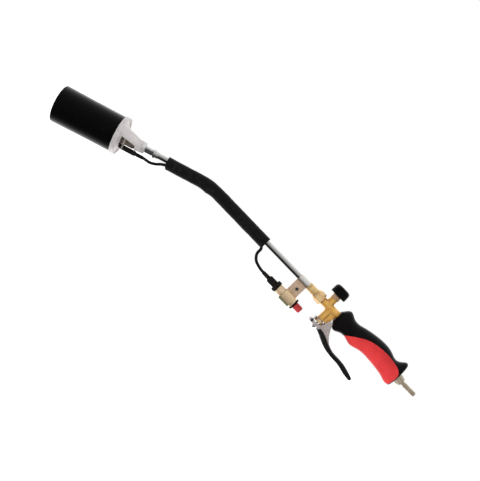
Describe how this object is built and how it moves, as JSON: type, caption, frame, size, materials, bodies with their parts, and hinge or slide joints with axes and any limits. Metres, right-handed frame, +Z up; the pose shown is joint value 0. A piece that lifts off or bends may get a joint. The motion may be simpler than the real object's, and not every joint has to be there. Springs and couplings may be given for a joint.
{
  "type": "propane torch",
  "caption": "Hand-held roofing torch: barbed hose tail, oval grip, trigger valve with flow knob, piezo igniter under a bent neck and a long burner bell.",
  "frame": {"origin": "rear tip of the hose tail, on the axis of the grip's gas tube", "axes": "+X forward along the grip's gas tube towards the burner, +Z up on the flow knob's side, +Y to the left"},
  "size_m": [0.7607, 0.066, 0.1561],
  "materials": {
    "brass_turned": "turned, bright",
    "brass_forged": "forged and lightly blasted, golden",
    "brass_pale": "turned, pale and slightly dull",
    "brass_copper": "turned, pinkish",
    "steel_tube": "drawn",
    "steel_turned": "turned",
    "spring_steel": "drawn wire",
    "lever_steel": "pressed sheet, zinc plated",
    "pin_dark": "blackened",
    "clip_steel": "bent strip",
    "grip_black": "fine spark texture",
    "grip_red": "soft, satin",
    "knob_black": "moulded",
    "cover_black": "moulded",
    "button_red": "moulded",
    "piezo_plastic": "moulded",
    "seal_rubber": "matte",
    "boot_rubber": "matte",
    "lead_black": "satin",
    "sleeve_black": "silicone coated, satin",
    "bracket_nickel": "nickel plated, warm",
    "neck_chrome": "polished",
    "coupling_nickel": "satin nickel",
    "hub_nickel": "turned",
    "spider_cast": "cast, lightly blasted",
    "nozzle_brass": "turned, nickel worn",
    "flame_steel": "pressed, heat tinted",
    "bell_enamel": "gloss black heat-proof paint",
    "ceramic_white": "glazed ceramic"
  },
  "bodies": {
    "torch": {"hose_tail": "brass_turned", "supply_tube": "steel_tube", "grip_body": "grip_black", "grip_inlay": "grip_red", "valve_body": "brass_forged", "tube_nipple": "brass_turned", "union_nut": "brass_pale", "spindle_gland_nut": "brass_copper", "spindle_packing": "seal_rubber", "valve_seat": "brass_turned", "trigger_spring": "spring_steel", "plunger_seal": "seal_rubber", "trigger_gland": "brass_pale", "hinge_plate": "lever_steel", "igniter_bracket": "bracket_nickel", "bracket_liner": "seal_rubber", "bracket_rivet": "pin_dark", "igniter_barrel": "brass_pale", "igniter_collar": "knob_black", "piezo_unit": "piezo_plastic", "igniter_boot": "boot_rubber", "igniter_lead": "lead_black", "neck_tube": "neck_chrome", "neck_sleeve": "sleeve_black", "neck_coupling": "coupling_nickel", "hub_nut": "hub_nickel", "burner_spider": "spider_cast", "burner_nozzle": "nozzle_brass", "gas_jet": "brass_turned", "flame_holder": "flame_steel", "burner_bell": "bell_enamel", "lead_sleeve": "lead_black", "electrode_boot": "boot_rubber", "electrode_clip": "clip_steel", "electrode_ceramic": "ceramic_white", "electrode_wire": "spring_steel"},
    "spindle": {"flow_spindle": "steel_turned"},
    "knob": {"flow_knob": "knob_black", "knob_screw": "steel_turned"},
    "plunger": {"trigger_plunger": "steel_turned", "valve_disc": "seal_rubber"},
    "lever": {"trigger_lever": "lever_steel", "lever_cover": "cover_black", "lever_pin": "pin_dark", "pilot_screw": "steel_turned", "pilot_locknut": "steel_turned"},
    "button": {"igniter_button": "button_red"}
  },
  "joints": [
    {"name": "lever_pivot", "type": "hinge", "parent": "torch", "child": "lever", "pos_m": [0.207, 0, -0.0353], "axis": [0, 1, 0], "range_deg": [0, 16], "stiffness_Nm_per_rad": 1.6, "springref_deg": -24.06},
    {"name": "plunger_slide", "type": "slide", "parent": "torch", "child": "plunger", "axis": [0, 0, 1], "range_m": [0, 0.0029], "deforming": ["trigger_spring"]},
    {"name": "spindle_rise", "type": "slide", "parent": "torch", "child": "spindle", "axis": [0, 0, 1], "range_m": [0, 0.00201]},
    {"name": "knob_turn", "type": "hinge", "parent": "spindle", "child": "knob", "pos_m": [0.2048, 0, 0], "axis": [0, 0, 1], "range_deg": [0, 720]},
    {"name": "button_press", "type": "slide", "parent": "torch", "child": "button", "axis": [1, 0, 0], "range_m": [0, 0.006], "stiffness_N_per_m": 600, "springref_m": -0.004}
  ],
  "couplings": [
    {"joint": "plunger_slide", "follows": "lever_pivot", "m_per_rad": 0.0102},
    {"joint": "spindle_rise", "follows": "knob_turn", "m_per_rad": 0.00015915}
  ]
}
